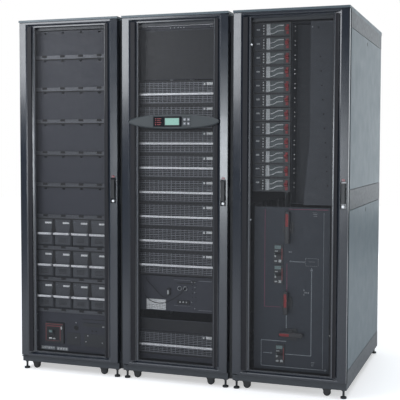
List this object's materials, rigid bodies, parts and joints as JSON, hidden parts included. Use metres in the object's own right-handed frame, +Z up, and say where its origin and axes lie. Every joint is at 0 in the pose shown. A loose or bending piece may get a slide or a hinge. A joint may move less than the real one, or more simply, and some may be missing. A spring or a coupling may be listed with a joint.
{
  "type": "modular rack cabinet ups row",
  "caption": "Row of full-height uninterruptible power supply rack cabinets: battery, power-module and distribution bays behind perforated swing doors.",
  "frame": {"origin": "on the floor under the middle of the row of cabinets", "axes": "+Z up, -Y out of the front doors, +X to the viewer's right when facing the doors"},
  "size_m": [1.882, 1.125, 1.991],
  "materials": {
    "frame_paint": "satin",
    "door_paint": "satin",
    "mesh_steel": "satin",
    "side_paint": "satin",
    "black_plastic": "satin",
    "white_plastic": "glossy",
    "zinc_steel": "satin",
    "black_steel": "satin",
    "caster_grey": "satin",
    "bezel_plastic": "satin",
    "display_glass": "glossy",
    "shelf_steel": "satin",
    "blank_paint": "satin",
    "battery_case": "satin",
    "bar_aluminium": "brushed",
    "breaker_plastic": "satin",
    "module_paint": "satin",
    "trough_steel": "satin",
    "mimic_paint": "satin",
    "key_plastic": "satin",
    "red_plastic": "satin",
    "cable_jacket": "satin",
    "switch_plastic": "satin"
  },
  "bodies": {
    "cabinet_row": {"battery_modules": "battery_case", "battery_shelves": "shelf_steel", "baying_strips": "black_steel", "blank_plates": "blank_paint", "breaker_bodies": "breaker_plastic", "casters": "caster_grey", "centre_frame": "frame_paint", "connection_unit": "blank_paint", "disconnect_housing": "blank_paint", "held_cables": "cable_jacket", "left_frame": "frame_paint", "levelling_feet": "black_steel", "mimic_panel": "mimic_paint", "module_pull_bars": "bar_aluminium", "mounting_rails": "zinc_steel", "outgoing_modules": "breaker_plastic", "power_modules": "module_paint", "rear_panels": "side_paint", "right_frame": "frame_paint", "roof_panels": "side_paint", "side_panel_latches": "black_plastic", "side_panels": "side_paint", "wiring_trough": "trough_steel"},
    "left_door_leaf": {"left_door": "door_paint", "left_door_mesh": "mesh_steel"},
    "left_handle": {"left_door_handle": "black_plastic"},
    "left_button": {"left_latch_button": "white_plastic"},
    "centre_door_leaf": {"centre_door": "door_paint", "centre_door_mesh": "mesh_steel", "display_bezel": "bezel_plastic", "display_window": "display_glass"},
    "centre_handle": {"centre_door_handle": "black_plastic"},
    "centre_button": {"centre_latch_button": "white_plastic"},
    "right_door_leaf": {"right_door": "door_paint", "right_door_mesh": "mesh_steel"},
    "right_handle": {"right_door_handle": "black_plastic"},
    "right_button": {"right_latch_button": "white_plastic"},
    "key_1": {"display_key_1": "key_plastic"},
    "key_2": {"display_key_2": "key_plastic"},
    "key_3": {"display_key_3": "key_plastic"},
    "key_4": {"display_key_4": "key_plastic"},
    "battery_breaker_toggle": {"battery_breaker_lever": "breaker_plastic"},
    "outgoing_toggle_01": {"outgoing_lever_01": "red_plastic"},
    "outgoing_toggle_02": {"outgoing_lever_02": "red_plastic"},
    "outgoing_toggle_03": {"outgoing_lever_03": "red_plastic"},
    "outgoing_toggle_04": {"outgoing_lever_04": "red_plastic"},
    "outgoing_toggle_05": {"outgoing_lever_05": "red_plastic"},
    "outgoing_toggle_06": {"outgoing_lever_06": "red_plastic"},
    "outgoing_toggle_07": {"outgoing_lever_07": "red_plastic"},
    "outgoing_toggle_08": {"outgoing_lever_08": "red_plastic"},
    "outgoing_toggle_09": {"outgoing_lever_09": "red_plastic"},
    "outgoing_toggle_10": {"outgoing_lever_10": "red_plastic"},
    "outgoing_toggle_11": {"outgoing_lever_11": "red_plastic"},
    "outgoing_toggle_12": {"outgoing_lever_12": "red_plastic"},
    "mimic_toggle_1": {"mimic_breaker_lever_1": "black_plastic"},
    "mimic_toggle_2": {"mimic_breaker_lever_2": "black_plastic"},
    "mimic_toggle_3": {"mimic_breaker_lever_3": "black_plastic"},
    "input_switch": {"input_switch_handle": "switch_plastic"},
    "output_switch": {"output_switch_handle": "switch_plastic"},
    "bypass_switch": {"bypass_switch_handle": "switch_plastic"}
  },
  "joints": [
    {"name": "left_door_hinge", "type": "hinge", "parent": "cabinet_row", "child": "left_door_leaf", "pos_m": [-0.927, -0.5315, 1.03], "axis": [0, 0, -1], "range_deg": [0, 110]},
    {"name": "left_handle_lift", "type": "hinge", "parent": "left_door_leaf", "child": "left_handle", "pos_m": [-0.356, -0.5435, 1.096], "axis": [-1, 0, 0], "range_deg": [0, 60]},
    {"name": "left_button_press", "type": "slide", "parent": "left_door_leaf", "child": "left_button", "axis": [0, 1, 0], "range_m": [0, 0.003], "stiffness_N_per_m": 300},
    {"name": "centre_door_hinge", "type": "hinge", "parent": "cabinet_row", "child": "centre_door_leaf", "pos_m": [-0.291, -0.5315, 1.03], "axis": [0, 0, -1], "range_deg": [0, 110]},
    {"name": "centre_handle_lift", "type": "hinge", "parent": "centre_door_leaf", "child": "centre_handle", "pos_m": [0.28, -0.5435, 1.096], "axis": [-1, 0, 0], "range_deg": [0, 60]},
    {"name": "centre_button_press", "type": "slide", "parent": "centre_door_leaf", "child": "centre_button", "axis": [0, 1, 0], "range_m": [0, 0.003], "stiffness_N_per_m": 300},
    {"name": "right_door_hinge", "type": "hinge", "parent": "cabinet_row", "child": "right_door_leaf", "pos_m": [0.345, -0.5315, 1.03], "axis": [0, 0, -1], "range_deg": [0, 110]},
    {"name": "right_handle_lift", "type": "hinge", "parent": "right_door_leaf", "child": "right_handle", "pos_m": [0.916, -0.5435, 1.096], "axis": [-1, 0, 0], "range_deg": [0, 60]},
    {"name": "right_button_press", "type": "slide", "parent": "right_door_leaf", "child": "right_button", "axis": [0, 1, 0], "range_m": [0, 0.003], "stiffness_N_per_m": 300},
    {"name": "key_1_press", "type": "slide", "parent": "centre_door_leaf", "child": "key_1", "axis": [0, 1, 0], "range_m": [0, 0.0015], "stiffness_N_per_m": 300},
    {"name": "key_2_press", "type": "slide", "parent": "centre_door_leaf", "child": "key_2", "axis": [0, 1, 0], "range_m": [0, 0.0015], "stiffness_N_per_m": 300},
    {"name": "key_3_press", "type": "slide", "parent": "centre_door_leaf", "child": "key_3", "axis": [0, 1, 0], "range_m": [0, 0.0015], "stiffness_N_per_m": 300},
    {"name": "key_4_press", "type": "slide", "parent": "centre_door_leaf", "child": "key_4", "axis": [0, 1, 0], "range_m": [0, 0.0015], "stiffness_N_per_m": 300},
    {"name": "battery_breaker_toggle_throw", "type": "hinge", "parent": "cabinet_row", "child": "battery_breaker_toggle", "pos_m": [-0.761, -0.4995, 0.214], "axis": [1, 0, 0], "range_deg": [0, 60]},
    {"name": "outgoing_toggle_01_throw", "type": "hinge", "parent": "cabinet_row", "child": "outgoing_toggle_01", "pos_m": [0.601, -0.46683, 1.08675], "axis": [1, 0, 0], "range_deg": [0, 60]},
    {"name": "outgoing_toggle_02_throw", "type": "hinge", "parent": "cabinet_row", "child": "outgoing_toggle_02", "pos_m": [0.601, -0.46683, 1.16025], "axis": [1, 0, 0], "range_deg": [0, 60]},
    {"name": "outgoing_toggle_03_throw", "type": "hinge", "parent": "cabinet_row", "child": "outgoing_toggle_03", "pos_m": [0.601, -0.46683, 1.23375], "axis": [1, 0, 0], "range_deg": [0, 60]},
    {"name": "outgoing_toggle_04_throw", "type": "hinge", "parent": "cabinet_row", "child": "outgoing_toggle_04", "pos_m": [0.601, -0.46683, 1.30725], "axis": [1, 0, 0], "range_deg": [0, 60]},
    {"name": "outgoing_toggle_05_throw", "type": "hinge", "parent": "cabinet_row", "child": "outgoing_toggle_05", "pos_m": [0.601, -0.46683, 1.38075], "axis": [1, 0, 0], "range_deg": [0, 60]},
    {"name": "outgoing_toggle_06_throw", "type": "hinge", "parent": "cabinet_row", "child": "outgoing_toggle_06", "pos_m": [0.601, -0.46683, 1.45425], "axis": [1, 0, 0], "range_deg": [0, 60]},
    {"name": "outgoing_toggle_07_throw", "type": "hinge", "parent": "cabinet_row", "child": "outgoing_toggle_07", "pos_m": [0.601, -0.46683, 1.52775], "axis": [1, 0, 0], "range_deg": [0, 60]},
    {"name": "outgoing_toggle_08_throw", "type": "hinge", "parent": "cabinet_row", "child": "outgoing_toggle_08", "pos_m": [0.601, -0.46683, 1.60125], "axis": [1, 0, 0], "range_deg": [0, 60]},
    {"name": "outgoing_toggle_09_throw", "type": "hinge", "parent": "cabinet_row", "child": "outgoing_toggle_09", "pos_m": [0.601, -0.46683, 1.67475], "axis": [1, 0, 0], "range_deg": [0, 60]},
    {"name": "outgoing_toggle_10_throw", "type": "hinge", "parent": "cabinet_row", "child": "outgoing_toggle_10", "pos_m": [0.601, -0.46683, 1.74825], "axis": [1, 0, 0], "range_deg": [0, 60]},
    {"name": "outgoing_toggle_11_throw", "type": "hinge", "parent": "cabinet_row", "child": "outgoing_toggle_11", "pos_m": [0.601, -0.46683, 1.82175], "axis": [1, 0, 0], "range_deg": [0, 60]},
    {"name": "outgoing_toggle_12_throw", "type": "hinge", "parent": "cabinet_row", "child": "outgoing_toggle_12", "pos_m": [0.601, -0.46683, 1.89525], "axis": [1, 0, 0], "range_deg": [0, 60]},
    {"name": "mimic_toggle_1_throw", "type": "hinge", "parent": "cabinet_row", "child": "mimic_toggle_1", "pos_m": [0.565, -0.47783, 0.725], "axis": [1, 0, 0], "range_deg": [0, 60]},
    {"name": "mimic_toggle_2_throw", "type": "hinge", "parent": "cabinet_row", "child": "mimic_toggle_2", "pos_m": [0.566, -0.47783, 0.617], "axis": [1, 0, 0], "range_deg": [0, 60]},
    {"name": "mimic_toggle_3_throw", "type": "hinge", "parent": "cabinet_row", "child": "mimic_toggle_3", "pos_m": [0.577, -0.47783, 0.196], "axis": [1, 0, 0], "range_deg": [0, 60]},
    {"name": "input_switch_turn", "type": "hinge", "parent": "cabinet_row", "child": "input_switch", "pos_m": [0.617, -0.4875, 0.866], "axis": [0, 1, 0], "range_deg": [0, 90]},
    {"name": "output_switch_turn", "type": "hinge", "parent": "cabinet_row", "child": "output_switch", "pos_m": [0.611, -0.4875, 0.47], "axis": [0, 1, 0], "range_deg": [0, 90]},
    {"name": "bypass_switch_turn", "type": "hinge", "parent": "cabinet_row", "child": "bypass_switch", "pos_m": [0.639, -0.4875, 0.304], "axis": [0, 1, 0], "range_deg": [0, 90]}
  ]
}
